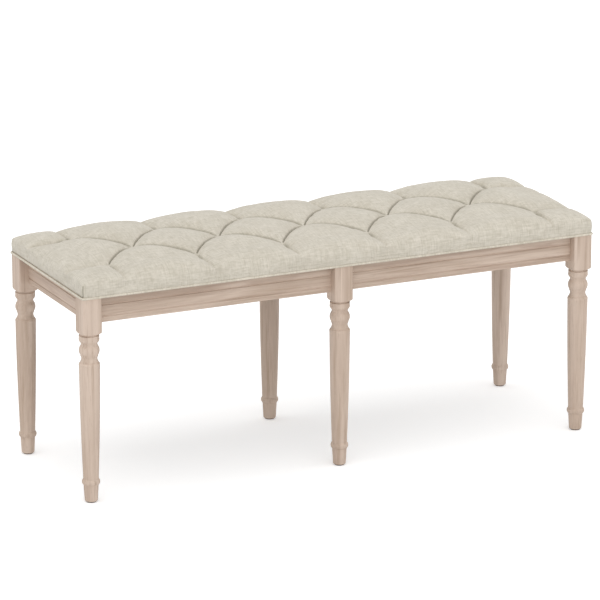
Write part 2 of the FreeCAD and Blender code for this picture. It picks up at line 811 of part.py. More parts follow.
def plate(name, half_x, half_y, z, thick):
    item = doc.addObject("Part::Box", name)
    item.Length = half_x.number * 2
    item.Width = half_y.number * 2
    item.Height = thick.number
    bind(item, "Length", half_x * 2)
    bind(item, "Width", half_y * 2)
    bind(item, "Height", thick)
    place(item, -half_x, -half_y, z)
    return item


def board_edge(half):
    return half - size("cover_thick") - size("layer_gap")


def make_board():
    """The plywood board, with a hole for each tie, a recess for each toggle and pilots for the screws."""
    blank = plate("board_blank", board_edge(half_length), board_edge(half_depth), board_bottom, size("board_thick"))
    blank.recompute()
    rounded = doc.addObject("Part::Fillet", "board_rounded")
    rounded.Base = blank
    radius = size("board_corner").number
    rounded.Edges = [
        (index, radius, radius)
        for index, edge in enumerate(blank.Shape.Edges, start=1)
        if edge.BoundBox.ZLength > edge.BoundBox.XLength + edge.BoundBox.YLength
    ]
    twine_hole = (size("twine_diameter") + size("twine_clearance")) / 2
    recess = (size("toggle_diameter") + size("toggle_clearance")) / 2
    holes = []
    recesses = []
    for index, (x, y) in enumerate(tuft_places()):
        holes.append(rod("twine_hole_" + str(index), twine_hole, size("board_thick"), x, y, board_bottom))
        recesses.append(rod("toggle_recess_" + str(index), recess, size("toggle_recess"), x, y, board_bottom))
    for index, (x, y) in enumerate(seat_screw_places()):
        depth = size("seat_screw_in_board") + size("screw_clearance")
        holes.append(rod("board_pilot_" + str(index), screw_hole_radius, depth, x, y, board_bottom))
    bored = less("board_bored", rounded, group("board_holes", holes))
    board = less("seat_board", bored, group("board_recesses", recesses))
    board.Label = "seat_board"
    nodes["seat_board"] = board


def make_dust_cover():
    half_x = half_length - size("dust_cover_inset")
    half_y = half_depth - size("dust_cover_inset")
    cloth = plate("dust_cloth", half_x, half_y, size("frame_top"), size("dust_cover_thick"))
    holes = []
    for index, (x, y) in enumerate(seat_screw_places()):
        name = "dust_hole_" + str(index)
        holes.append(rod(name, screw_hole_radius, size("dust_cover_thick"), x, y, size("frame_top")))
    cover = less("dust_cover", cloth, group("dust_holes", holes))
    cover.Label = "dust_cover"
    nodes["dust_cover"] = cover


def arc_or_line(first, last, swell):
    """An arc from first to last that stands swell above its chord, in a plane across the bench."""
    run = last - first
    lift = FreeCAD.Vector(0, -run.z, run.y).normalize()
    return Part.Arc(first, (first + last) * 0.5 + lift * swell, last).toShape()


def seat_section(x, grow, bottom):
    """The section of the tufted seat at x, as eight edges from the front bottom corner, the flat bottom last.

    Between the straight sides are two shoulders and three arcs, which meet at the two creases. grow moves every
    outer face out, or in where it is negative, and bottom is the level of the flat bottom.
    """
    frame_top = size("frame_top").number
    long = half_length.number + grow
    deep = half_depth.number + grow
    run = size("shoulder_run").number + grow
    side_top = frame_top + size("side_height").number + grow
    tuft = frame_top + size("tuft_height").number + grow
    pleat = frame_top + size("pleat_shoulder_height").number + grow
    crown = frame_top + size("crown_shoulder_height").number + grow
    end_pleat = frame_top + size("end_pleat_height").number + grow
    end_crown = frame_top + size("end_crown_height").number + grow
    crest = frame_top + size("crest_height").number + grow
    rise = size("crease_rise").number
    flat = size("tuft_half_width").number
    round_off = size("corner_round").number + grow / 2
    row_y = tuft_row_y.number
    half_cell = tuft_pitch.number / 2
    last_column = half_cell * (TUFTS_IN_OUTER_ROWS - 1)
    from_middle = abs(x)
    fall = 0.0
    if from_middle <= last_column:
        # off is 0 at a column of the outer rows and 1 at a column of the middle row
        step = (from_middle / half_cell + 1) % 2
        off = min(step, 2 - step)
        crease_y = row_y * (1 - off) + flat * off
        crease_z = tuft + 4 * off * (1 - off) * rise
        middle_z = tuft + (crest - tuft) * math.sqrt(max(0.0, 1 - off * off))
        dome = math.sqrt(max(0.0, 1 - (1 - off) ** 2))
    else:
        # past the last column the creases run out to the end of the seat
        level_end = long - run
        out = min(1.0, (from_middle - last_column) / (level_end - last_column))
        crease_y = row_y
        crease_z = tuft + (end_pleat - tuft) * math.sin(out * math.pi / 2)
        middle_z = crest - (crest - end_crown) * out * out
        crown = end_crown
        dome = math.sqrt(max(0.0, 1 - (1 - out) ** 2))
        past = min(LAST_ROUND_SHARE, max(0.0, (from_middle - level_end) / run))
        fall = 1 - math.sqrt(1 - past * past)
    wide = deep
    into_corner = (from_middle - (long - round_off)) / round_off
    if into_corner > 0:
        wide = deep - round_off * (1 - math.sqrt(1 - min(LAST_CORNER_SHARE, into_corner) ** 2))
    shoulder_y = wide - run
    shoulder_z = pleat + (crown - pleat) * dome
    drawn = wide - size("pleat_draw").number * (1 - dome)

    def fallen(z):
        return side_top + (z - side_top) * (1 - fall)

    def point(y, z):
        return FreeCAD.Vector(x, y, z)

    half_points = [
        point(-wide, bottom),
        point(-drawn, side_top),
        point(-shoulder_y, fallen(shoulder_z)),
        point(-crease_y, fallen(crease_z)),
    ]
    mirrored = [point(-p.y, p.z) for p in reversed(half_points)]
    outline = half_points + mirrored
    arch_share = PLEAT_ARCH + (CROWN_ARCH - PLEAT_ARCH) * dome
    shoulder = half_points[2] - half_points[1]
    shoulder_swell = OVAL_SWELL * shoulder.y * shoulder.z / shoulder.Length
    front_swell = (half_points[3] - half_points[2]).Length * arch_share
    middle_swell = max(size("tuft_gather_rise").number, fallen(middle_z) - fallen(crease_z))
    swells = [None, shoulder_swell, front_swell, middle_swell, front_swell, shoulder_swell, None, None]
    edges = []
    for index, swell in enumerate(swells):
        start = outline[index]
        end = outline[(index + 1) % len(outline)]
        if swell is None:
            edges.append(Part.LineSegment(start, end).toShape())
        else:
            edges.append(arc_or_line(start, end, swell))
    return edges


def seat_stations(grow):
    """The x of each section of the seat."""
    half_cell = tuft_pitch.number / 2
    right = []
    for cell in range(TUFTS_IN_OUTER_ROWS - 1):
        right.extend((cell + share) * half_cell for share in CELL_STEPS)
    last_column = (TUFTS_IN_OUTER_ROWS - 1) * half_cell
    run = size("shoulder_run").number + grow
    end = half_length.number + grow
    level_end = end - run
    right.extend(last_column + share * (level_end - last_column) for share in LEVEL_STEPS)
    right.extend(level_end + share * run for share in ROUND_STEPS)
    return [-x for x in reversed(right[1:])] + right


def ruled_skin(grow, bottom):
    """The faces of the tufted form, its flat bottom apart."""
    sections = [seat_section(x, grow, bottom) for x in seat_stations(grow)]
    faces = []
    for near, far in zip(sections, sections[1:]):
        faces.extend(Part.makeRuledSurface(a, b) for a, b in zip(near[:-1], far[:-1]))
    faces.append(Part.Face(Part.Wire(sections[0])))
    faces.append(Part.Face(Part.Wire(sections[-1])))
    front = [edges[0].Vertexes[0].Point for edges in sections]
    back = [FreeCAD.Vector(p.x, -p.y, p.z) for p in reversed(front)]
    rim = Part.makePolygon(front + back + [front[0]])
    return faces, Part.Face(rim)


def closed_solid(faces):
    shell = Part.makeShell(faces)
    shell.sewShape()
    solid = Part.Solid(shell)
    if solid.Volume < 0:
        solid.reverse()
    return solid


def solid_form(grow, bottom):
    faces, base = ruled_skin(grow, bottom)
    return closed_solid(faces + [base])


def hollow_form(grow, wall, bottom):
    """The tufted form, open below, with a wall of one thickness."""
    outer, outer_base = ruled_skin(grow, bottom)
    inner, inner_base = ruled_skin(grow - wall, bottom)
    return closed_solid(outer + inner + outer_base.cut(inner_base).Faces)


def soft_node(label, shape):
    item = doc.addObject("Part::Feature", label)
    item.Label = label
    item.Shape = shape
    nodes[label] = item


def make_upholstery():
    gap = size("layer_gap").number
    cover = size("cover_thick").number
    batting = size("batting_thick").number
    top = board_top.number
    welt_top = size("frame_top").number + gap + size("welt_diameter").number
    soft_node("seat_cover", hollow_form(0.0, cover, welt_top + gap))
    twine_hole = (size("twine_diameter").number + size("twine_clearance").number) / 2
    long_enough = size("crest_height").number
    drills = [
        Part.makeCylinder(twine_hole, long_enough, FreeCAD.Vector(x.number, y.number, board_bottom.number))
        for x, y in tuft_places()
    ]
    wadding = hollow_form(-cover - gap, batting, top)
    soft_node("batting", wadding.cut(drills))
    foam = solid_form(-cover - gap - batting - gap, top)
    soft_node("foam_pad", foam.cut(drills))


def make_ties():
    """A twine from each tuft down through the board to its toggle."""
    toggle_top = board_bottom + size("toggle_recess")
    twine_top = size("frame_top") + size("tuft_height") - size("cover_thick") - size("layer_gap") * 2
    twine_radius = size("twine_diameter") / 2
    toggle_radius = size("toggle_diameter") / 2
    thick = size("toggle_thick")
    twines = []
    toggles = []
    for index, (x, y) in enumerate(tuft_places()):
        twines.append(rod("twine_" + str(index), twine_radius, twine_top - toggle_top, x, y, toggle_top))
        toggles.append(rod("toggle_" + str(index), toggle_radius, thick, x, y, toggle_top - thick))
    nodes["tuft_twines"] = group("tuft_twines", twines)
    nodes["tuft_toggles"] = group("tuft_toggles", toggles)


def make_welt():
    """A round cord around the board's edge, just above the frame."""
    radius = size("welt_diameter").number / 2
    gap = size("layer_gap").number
    corner = size("welt_corner").number
    z = size("frame_top").number + gap + radius
    x = board_edge(half_length).number + gap + radius
    y = board_edge(half_depth).number + gap + radius
    edges = []
    for side_x, side_y in ((1, -1), (1, 1), (-1, 1), (-1, -1)):
        centre = FreeCAD.Vector(side_x * (x - corner), side_y * (y - corner), z)
        on_x = centre + FreeCAD.Vector(side_x * corner, 0, 0)
        on_y = centre + FreeCAD.Vector(0, side_y * corner, 0)
        middle = centre + FreeCAD.Vector(side_x, side_y, 0).normalize() * corner
        first, last = (on_y, on_x) if side_x * side_y < 0 else (on_x, on_y)
        if edges:
            edges.append(Part.LineSegment(edges[-1].Vertexes[-1].Point, first).toShape())
        edges.append(Part.Arc(first, middle, last).toShape())
    edges.append(Part.LineSegment(edges[-1].Vertexes[-1].Point, edges[0].Vertexes[0].Point).toShape())
    path = Part.Wire(edges)
    section = Part.Wire([Part.makeCircle(radius, edges[0].Vertexes[0].Point, FreeCAD.Vector(1, 0, 0))])
    cord = path.makePipeShell([section], True, False)
    soft_node("seat_welt", cord)


# the whole bench

for side_x, column in ((-1, "left"), (0, "middle"), (1, "right")):
    make_leg("leg_front_" + column, side_x, -1)
    make_leg("leg_back_" + column, side_x, 1)
make_rails()
make_cross_rail()
for corner_name in CORNERS:
    make_corner_block(corner_name)
make_dowels()
make_corner_hardware()
make_screws()
make_glides()
make_board()
make_dust_cover()
make_upholstery()
make_ties()
make_welt()
doc.recompute()

# every object is sound before anything is written

for item in doc.Objects:
    if "Invalid" in item.State or "Error" in item.State:
        raise RuntimeError(item.Label + " did not build: " + str(item.State))
for label, item in nodes.items():
    if item.Shape.isNull() or not item.Shape.isValid():
        raise RuntimeError(label + " has no valid shape")

os.makedirs("parts", exist_ok=True)
for label, item in nodes.items():
    item.Shape.exportStep(os.path.join("parts", label + ".step"))
print(len(nodes), "nodes written")
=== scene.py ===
import math

import bmesh
import bpy
import numpy as np
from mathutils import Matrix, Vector, noise


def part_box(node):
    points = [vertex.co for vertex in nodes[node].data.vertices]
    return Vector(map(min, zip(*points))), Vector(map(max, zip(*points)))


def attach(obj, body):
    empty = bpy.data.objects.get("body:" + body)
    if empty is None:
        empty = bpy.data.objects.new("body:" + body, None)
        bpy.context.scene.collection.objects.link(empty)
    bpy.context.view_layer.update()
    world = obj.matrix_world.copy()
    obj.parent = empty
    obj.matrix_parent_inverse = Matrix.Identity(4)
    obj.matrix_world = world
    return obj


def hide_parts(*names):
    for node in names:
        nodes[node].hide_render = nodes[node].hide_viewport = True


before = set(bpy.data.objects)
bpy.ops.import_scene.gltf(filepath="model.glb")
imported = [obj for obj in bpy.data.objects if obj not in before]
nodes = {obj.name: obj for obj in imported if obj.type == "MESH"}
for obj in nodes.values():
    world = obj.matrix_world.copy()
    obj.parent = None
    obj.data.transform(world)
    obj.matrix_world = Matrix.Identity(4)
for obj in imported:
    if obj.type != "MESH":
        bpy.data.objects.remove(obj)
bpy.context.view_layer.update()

# Tufted bench. Metres, +X along the bench to the right, +Y to the back, +Z up.

# the seat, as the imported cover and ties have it
COVER_LOW, COVER_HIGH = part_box("seat_cover")
BOARD_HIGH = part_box("seat_board")[1]
TWINES_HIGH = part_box("tuft_twines")[1]
HALF_LENGTH = COVER_HIGH.x
HALF_DEPTH = COVER_HIGH.y
TWINE_RADIUS = 0.001
TUFTS_IN_OUTER_ROWS = 6
TUFT_X = TWINES_HIGH.x - TWINE_RADIUS
TUFT_Y = TWINES_HIGH.y - TWINE_RADIUS
TUFT_PITCH = 2 * TUFT_X / (TUFTS_IN_OUTER_ROWS - 1)
SHOULDER_RUN = 0.046
LEVEL_X = HALF_LENGTH - SHOULDER_RUN
LEVEL_Y = HALF_DEPTH - SHOULDER_RUN
HEM_REACH = 0.0004

# heights above the floor
HEM_Z = COVER_LOW.z - HEM_REACH
SIDE_TOP_Z = 0.446
TUFT_Z = 0.4547
CREST_Z = 0.4722
PLEAT_SHOULDER_Z = 0.4515
CROWN_SHOULDER_Z = 0.4640
END_PLEAT_Z = 0.4485
END_CROWN_Z = 0.4612
SIDE_DROP = SIDE_TOP_Z - HEM_Z

# the cloth's grid, with narrow rows of its own along each pleat
STEPS_PER_HALF_CELL = 16
LEVEL_STEPS = 8
ROUND_STEPS = 9
SIDE_STEPS = 6
PLEAT_REACH = 0.0032
PLEAT_SEGMENTS = 4
FLAT_TOLERANCE = 1e-6

# the pillows and the pits at the tufts
CREASE_RISE = 0.0035
PILLOW_SHARE = CREST_Z - TUFT_Z - 2 * CREASE_RISE
CORNER_PILLOW = 0.0150
EDGE_TURN = 0.5
PLEAT_BOW = 0.0085
GATHER_RADIUS = 0.003
PIT_RADIUS = 0.016
UNEVEN = 0.0007
UNEVEN_SCALE = 22
UNEVEN_FADE = 0.01

# powers of an arch: below 1 it is fuller, above 1 more pointed
PILLOW_FRONT = 0.45
PILLOW_BACK = 1.05
EDGE_PILLOW = 0.55
SIDE_ROUNDNESS = 0.7

# the sides, the hem and the underside
PLAN_ROUND = 0.008
SIDE_BULGE = 0.002
SIDE_PLEAT_DRAW = 0.0045
SIDE_PLEAT_REACH = 0.8
HEM_DRAW = -0.0014
END_HEM_DRAW = 0.0011
HEM_MARGIN = 0.002
COVER_THICK = 0.0014
BOARD_GAP = 0.0003

# how the cloth settles: its slack, and how firmly its parts are held, from 0 to 1
SETTLE_FRAMES = 20
SETTLE_PRESSURE = 4.0
SETTLE_REACH = 0.0035
SETTLE_SLACK = 0.012
SETTLE_QUALITY = 5
TUFT_HOLD = (0.004, 0.009)
OUTER_PLEAT_HOLD = 0.6
SIDE_HOLD = 0.15
HEM_HOLD = 0.9
LEAST_HOLD = 0.01

# the pleats and the folds at the corners, and how dark their painted shade is, from 0 to 1
PLEAT_DEPTH = 0.0045
PLEAT_WIDTH = 0.0014
# widths of the painted shade on the wall behind a rising and a falling pleat
RISING_WALL_SHADE = 0.0024
FALLING_WALL_SHADE = 0.0054
EDGE_PLEAT_RUN = 0.085
EDGE_PLEAT_DEPTH = 0.0040
EDGE_PLEAT_WIDTH = 0.0048
LEAST_EDGE_PLEAT = 0.25
EDGE_SHADE = 0.9
SIDE_SHADE = 0.12
# width of the painted dark line along a pleat, and how dark the painted shade on its wall is
PLEAT_SHADE_LINE = 0.0016
WALL_SHADE = 0.66
PLEAT_FADE = (0.0, 0.006)
# width of the painted dark line down each corner of the sides, and how far below the top it starts
CORNER_FOLD_SHADE = 0.0016
CORNER_FOLD_SHADE_TOP = 0.002


def make_material(name, roughness):
    """A new material, its node tree and its principled shader."""
    material = bpy.data.materials.new(name)
    material.use_nodes = True
    tree = material.node_tree
    shader = tree.nodes["Principled BSDF"]
    shader.inputs["Roughness"].default_value = roughness
    return material, tree, shader


def add(tree, kind, inputs=(), **settings):
    """A node with its settings and inputs, each input a value or another node's output."""
    node = tree.nodes.new(kind)
    for key, value in settings.items():
        setattr(node, key, value)
    for key, value in dict(inputs).items():
        if isinstance(value, bpy.types.NodeSocket):
            tree.links.new(value, node.inputs[key])
        else:
            node.inputs[key].default_value = value
    return node


def stretched_noise(tree, coordinates, scale, detail, roughness, shift=(0.0, 0.0, 0.0), distortion=0.0):
    """Noise whose cells are 1/scale metres along each axis."""
    mapping = add(tree, "ShaderNodeMapping", {"Vector": coordinates, "Scale": scale, "Location": shift})
    return add(
        tree,
        "ShaderNodeTexNoise",
        {
            "Vector": mapping.outputs["Vector"],
            "Scale": 1.0,
            "Detail": detail,
            "Roughness": roughness,
            "Distortion": distortion,
        },
    ).outputs["Fac"]


def remap(tree, value, low, high, to_low=0.0, to_high=1.0):
    """A value's way from low to high as the way between two others."""
    node = add(
        tree,
        "ShaderNodeMapRange",
        {"Value": value, "From Min": low, "From Max": high, "To Min": to_low, "To Max": to_high},
    )
    return node.outputs["Result"]


def blend_colour(tree, share, first, second):
    """From the first colour to the second as the share goes from 0 to 1."""
    node = add(tree, "ShaderNodeMix", data_type="RGBA", blend_type="MIX")
    for socket, value in (("Factor_Float", share), ("A_Color", first), ("B_Color", second)):
        target = next(s for s in node.inputs if s.identifier == socket)
        if isinstance(value, bpy.types.NodeSocket):
            tree.links.new(value, target)
        else:
            target.default_value = value
    return next(s for s in node.outputs if s.identifier == "Result_Color")


def combine(tree, operation, first, second):
    return add(tree, "ShaderNodeMath", {0: first, 1: second}, operation=operation).outputs[0]


def colour(r, g, b):
    return (r, g, b, 1.0)


def grey(level):
    return colour(level, level, level)


def tinted(base, r, g, b):
    """A colour with each of its parts scaled."""
    return colour(base[0] * r, base[1] * g, base[2] * b)


def speckle(tree, mixed, pattern, low, high, most, tint):
    """The mixed colour with another over it, up to the share most, where a pattern goes from low to high."""
    return blend_colour(tree, remap(tree, pattern, low, high, 0.0, most), mixed, tint)


def set_colour(tree, shader, mixed):
    tree.links.new(mixed, shader.inputs["Base Color"])


def set_bump(tree, shader, height, strength, depth):
    bump = add(tree, "ShaderNodeBump", {"Height": height, "Strength": strength, "Distance": depth})
    tree.links.new(bump.outputs["Normal"], shader.inputs["Normal"])


# wood


def oak(name, along, pale, dark, wavy=0.0):
    """Whitewashed oak whose grain runs along one axis: fine brushed lines, broad bands and short pores."""
    material, tree, shader = make_material(name, 0.62)
    coordinates = add(tree, "ShaderNodeTexCoord").outputs["Object"]

    def scales(cross, run):
        return tuple(run if axis == along else cross for axis in range(3))

    fine = stretched_noise(tree, coordinates, scales(420.0, 9.0), 4.0, 0.6)
    lines = stretched_noise(tree, coordinates, scales(150.0, 5.0), 3.0, 0.55, (3.1, 1.7, 0.4), wavy * 1.4)
    bands = stretched_noise(tree, coordinates, scales(34.0, 2.6), 2.0, 0.5, (0.3, 7.7, 2.9), wavy * 2)
    streaks = stretched_noise(tree, coordinates, scales(75.0, 4.0), 3.0, 0.6, (1.9, 4.2, 8.3), wavy * 2)
    pores = stretched_noise(tree, coordinates, scales(900.0, 42.0), 2.0, 0.5, (5.3, 0.9, 6.1))
    mixed = blend_colour(tree, remap(tree, bands, 0.36, 0.66), pale, dark)
    mixed = speckle(tree, mixed, streaks, 0.52, 0.66, 0.45 + 0.45 * wavy, tinted(dark, 0.9, 0.86, 0.86))
    mixed = speckle(tree, mixed, lines, 0.52, 0.70, 0.72, tinted(dark, 0.84, 0.8, 0.76))
    mixed = speckle(tree, mixed, fine, 0.5, 0.66, 0.30, tinted(pale, 1.1, 1.12, 1.14))
    mixed = speckle(tree, mixed, pores, 0.62, 0.7, 0.35, tinted(dark, 0.7, 0.64, 0.58))
    set_colour(tree, shader, mixed)
    height = combine(tree, "ADD", fine, combine(tree, "MULTIPLY", pores, -0.6))
    set_bump(tree, shader, height, 0.35, 0.0006)
    tree.links.new(remap(tree, lines, 0.3, 0.8, 0.56, 0.72), shader.inputs["Roughness"])
    return material


def raw_wood(name, along, pale, dark):
    """Unfinished wood with a plain straight grain."""
    material, tree, shader = make_material(name, 0.75)
    coordinates = add(tree, "ShaderNodeTexCoord").outputs["Object"]
    scale = tuple(6.0 if axis == along else 160.0 for axis in range(3))
    grain = stretched_noise(tree, coordinates, scale, 4.0, 0.6)
    set_colour(tree, shader, blend_colour(tree, remap(tree, grain, 0.35, 0.68), pale, dark))
    set_bump(tree, shader, grain, 0.25, 0.0004)
    return material


# cloth


def linen(name, pale, dark, has_map=True):
    """Natural linen: slubs both ways, a fine weave and painted shade in the pleats, on the piece's own map
    if any.
    """
    material, tree, shader = make_material(name, 0.92)
    shader.inputs["Sheen Weight"].default_value = 0.15
    shader.inputs["Sheen Roughness"].default_value = 0.6
    shader.inputs["Specular IOR Level"].default_value = 0.25
    if has_map:
        cloth = add(tree, "ShaderNodeUVMap", uv_map="cloth").outputs["UV"]
    else:
        cloth = add(tree, "ShaderNodeTexCoord").outputs["Object"]
    warp_slubs = stretched_noise(tree, cloth, (330.0, 45.0, 1.0), 3.0, 0.6)
    weft_slubs = stretched_noise(tree, cloth, (45.0, 330.0, 1.0), 3.0, 0.6, (4.0, 9.0, 0.0))
    warp = stretched_noise(tree, cloth, (1150.0, 110.0, 1.0), 2.0, 0.5, (8.0, 2.0, 0.0))
    weft = stretched_noise(tree, cloth, (110.0, 1150.0, 1.0), 2.0, 0.5, (1.0, 6.0, 0.0))
    mottle = stretched_noise(tree, cloth, (16.0, 16.0, 1.0), 3.0, 0.55, (2.0, 3.0, 0.0))
    mixed = blend_colour(tree, remap(tree, mottle, 0.34, 0.66), pale, dark)
    blotches = stretched_noise(tree, cloth, (95.0, 60.0, 1.0), 3.0, 0.6, (5.0, 7.0, 0.0))
    mixed = speckle(tree, mixed, blotches, 0.5, 0.75, 0.5, tinted(dark, 0.86, 0.84, 0.80))
    for slubs in (warp_slubs, weft_slubs):
        mixed = speckle(tree, mixed, slubs, 0.5, 0.72, 0.6, tinted(dark, 0.78, 0.78, 0.74))
        mixed = speckle(tree, mixed, slubs, 0.46, 0.28, 0.55, tinted(pale, 1.14, 1.13, 1.14))
    yarn = combine(tree, "ADD", warp, weft)
    mixed = speckle(tree, mixed, yarn, 0.9, 1.2, 0.3, tinted(dark, 0.72, 0.72, 0.66))
    # painted shade in the pleats, on their walls and in the corner folds, read from the cushion's pleat
    # attribute
    pleat = add(tree, "ShaderNodeAttribute", attribute_name="pleat").outputs["Fac"]
    mixed = speckle(tree, mixed, pleat, 0.25, 1.0, 0.75, tinted(dark, 0.36, 0.36, 0.3))
    set_colour(tree, shader, mixed)
    all_slubs = combine(tree, "ADD", warp_slubs, weft_slubs)
    height = combine(tree, "ADD", yarn, combine(tree, "MULTIPLY", all_slubs, 1.4))
    set_bump(tree, shader, height, 0.4, 0.0007)
    return material


def plain_cloth(name, pale, dark, scale):
    """Cloth or foam with an even fine grain."""
    material, tree, shader = make_material(name, 0.95)
    coordinates = add(tree, "ShaderNodeTexCoord").outputs["Object"]
    grain = stretched_noise(tree, coordinates, (scale,) * 3, 3.0, 0.6)
    set_colour(tree, shader, blend_colour(tree, remap(tree, grain, 0.35, 0.65), pale, dark))
    set_bump(tree, shader, grain, 0.4, 0.0004)
    return material


def metal(name, tint, roughness):
    """Plated metal with faint scratches."""
    material, tree, shader = make_material(name, roughness)
    shader.inputs["Metallic"].default_value = 1.0
    coordinates = add(tree, "ShaderNodeTexCoord").outputs["Object"]
    scratches = stretched_noise(tree, coordinates, (900.0, 900.0, 120.0), 3.0, 0.6)
    darker = tinted(tint, 0.8, 0.8, 0.8)
    set_colour(tree, shader, blend_colour(tree, remap(tree, scratches, 0.35, 0.65), tint, darker))
    return material


# the seat's form


def grid_places(tuft, half_cells, level, outside):
    """Where the cloth's rows are, border to border: even over the tufts, closer over the shoulder."""
    inner = np.linspace(-tuft, tuft, half_cells * STEPS_PER_HALF_CELL + 1)
    levels = tuft + (level - tuft) * np.arange(1, LEVEL_STEPS + 1) / LEVEL_STEPS
    turns = level + (outside - level) * np.sin(np.arange(1, ROUND_STEPS + 1) / ROUND_STEPS * math.pi / 2)
    outer = np.concatenate([levels, turns])
    return np.concatenate([-outer[::-1], inner, outer])


def smooth_step(value, low, high):
    """From 0 at low to 1 at high, with a gentle start and end."""
    share = np.clip((value - low) / (high - low), 0, 1)
    return share * share * (3 - 2 * share)


def tuft_places():
    """Where the tufts are on the flat cloth, the middle row half a pitch aside."""
    places = []
    for row in (-1, 0, 1):
        columns = TUFTS_IN_OUTER_ROWS if row else TUFTS_IN_OUTER_ROWS - 1
        places += [((column - (columns - 1) / 2) * TUFT_PITCH, row * TUFT_Y) for column in range(columns)]
    return places


def tuft_distance(x, y):
    """How far points of the flat cloth lie from the nearest tuft."""
    return np.min([np.hypot(x - tuft_x, y - tuft_y) for tuft_x, tuft_y in tuft_places()], axis=0)


def off_whole(value):
    return np.abs(value - np.round(value))


def painted_wall_width(x, y):
    """How wide the painted shade on the wall of the nearest pleat is at points of the flat cloth: wider
    behind it.
    """
    column = (x + TUFT_X) / TUFT_PITCH
    row = (y + TUFT_Y) / (2 * TUFT_Y)
    rising = np.round(column - row) - (column - row)
    falling = (column + row) - np.round(column + row)
    is_rising = np.abs(rising) < np.abs(falling)
    behind = np.where(is_rising, rising, falling) > 0
    return np.where(behind, np.where(is_rising, RISING_WALL_SHADE, FALLING_WALL_SHADE), PLEAT_WIDTH)


def pleat_distance(x, y):
    """How far points of the flat cloth lie from the nearest pleat, and which of them lie among the tufts."""
    column = (x + TUFT_X) / TUFT_PITCH
    row = (y + TUFT_Y) / (2 * TUFT_Y)
    slant = math.hypot(1 / TUFT_PITCH, 1 / (2 * TUFT_Y))
    between = np.minimum(off_whole(column - row), off_whole(column + row)) / slant
    nearest = np.clip(np.round(column), 0, TUFTS_IN_OUTER_ROWS - 1)
    crosswise = np.abs(x - (nearest * TUFT_PITCH - TUFT_X))
    lengthwise = np.abs(np.abs(y) - TUFT_Y)
    past_row = np.abs(y) > TUFT_Y + FLAT_TOLERANCE
    past_column = np.abs(x) > TUFT_X + FLAT_TOLERANCE
    past_both = np.minimum(crosswise, lengthwise)
    outward = np.where(past_row, np.where(past_column, past_both, crosswise), lengthwise)
    among = ~(past_row | past_column)
    return np.where(among, between, outward), among


def bow(share):
    """An arch from 0 up to 1 midway and down to 0 again."""
    return 4 * share * (1 - share)


def round_up(share):
    """A quarter circle from 0, steep at first, up to 1."""
    return np.sqrt(share * (2 - share))


def pillow(share):
    """A pillow's rise from its steep front edge, over its crest and gently down to its back edge."""
    return bow(share) ** np.where(share < 0.5, PILLOW_FRONT, PILLOW_BACK)


def seat_height(x, y):
    """Height of the tufted top over points of the flat cloth."""
    column = np.clip((x + TUFT_X) / TUFT_PITCH, 0, TUFTS_IN_OUTER_ROWS - 1)
    row = np.clip((y + TUFT_Y) / (2 * TUFT_Y), 0, 1)
    one = np.mod(column - row, 1.0)
    other = np.mod(column + row, 1.0)
    out_x = np.clip((np.abs(x) - TUFT_X) / (LEVEL_X - TUFT_X), 0, 1)
    out_y = np.clip((np.abs(y) - TUFT_Y) / (LEVEL_Y - TUFT_Y), 0, 1)
    kept_x = 1 - out_x * (1 - (END_CROWN_Z - END_PLEAT_Z) / (CREST_Z - TUFT_Z))
    kept_y = 1 - out_y * (1 - (CROWN_SHOULDER_Z - PLEAT_SHOULDER_Z) / (CREST_Z - TUFT_Z))
    between = pillow(1 - one) * pillow(other)
    at_edge = np.where(out_y > out_x, bow(np.mod(column, 1.0)), bow(row)) ** EDGE_PILLOW
    between += (at_edge - between) * smooth_step(np.maximum(out_x, out_y), 0, EDGE_TURN)
    puff = CREASE_RISE * (bow(one) + bow(other)) + PILLOW_SHARE * between
    pleats = (END_PLEAT_Z - TUFT_Z) * np.sin(out_x * math.pi / 2)
    pleats += (PLEAT_SHOULDER_Z - TUFT_Z) * np.sin(out_y * math.pi / 2)
    corner = CORNER_PILLOW * round_up(out_x) * round_up(out_y)
    gather = smooth_step(tuft_distance(x, y), GATHER_RADIUS, PIT_RADIUS)
    height = TUFT_Z + pleats + (puff * kept_x * kept_y + corner) * gather
    fall_x = np.clip((np.abs(x) - LEVEL_X) / SHOULDER_RUN, 0, 1)
    fall_y = np.clip((np.abs(y) - LEVEL_Y) / SHOULDER_RUN, 0, 1)
    return SIDE_TOP_Z + (height - SIDE_TOP_Z) * np.sqrt((1 - fall_x**2) * (1 - fall_y**2))


def bowed_back(x, y):
    """How far back points of the flat cloth are pulled, so that the pleats run in arcs from tuft to tuft."""
    column = np.clip((x + TUFT_X) / TUFT_PITCH, 0, TUFTS_IN_OUTER_ROWS - 1)
    row = np.clip((y + TUFT_Y) / (2 * TUFT_Y), 0, 1)
    one = bow(np.mod(column - row, 1.0))
    other = bow(np.mod(column + row, 1.0))
    out_x = np.clip((np.abs(x) - TUFT_X) / (LEVEL_X - TUFT_X), 0, 1)
    out_y = np.clip((np.abs(y) - TUFT_Y) / (LEVEL_Y - TUFT_Y), 0, 1)
    return PLEAT_BOW * (one + other - one * other) * (1 - out_x) * (1 - out_y)


def round_corner(x, y):
    """A point of the square plan moved onto the plan with round corners."""
    into_x = (abs(x) - (HALF_LENGTH - PLAN_ROUND)) / PLAN_ROUND
    into_y = (abs(y) - (HALF_DEPTH - PLAN_ROUND)) / PLAN_ROUND
    if into_x <= 0 or into_y <= 0:
        return x, y
    drawn_x = into_x * math.sqrt(1 - into_y**2 / 2)
    drawn_y = into_y * math.sqrt(1 - into_x**2 / 2)
    return (
        math.copysign(HALF_LENGTH - PLAN_ROUND * (1 - drawn_x), x),
        math.copysign(HALF_DEPTH - PLAN_ROUND * (1 - drawn_y), y),
    )


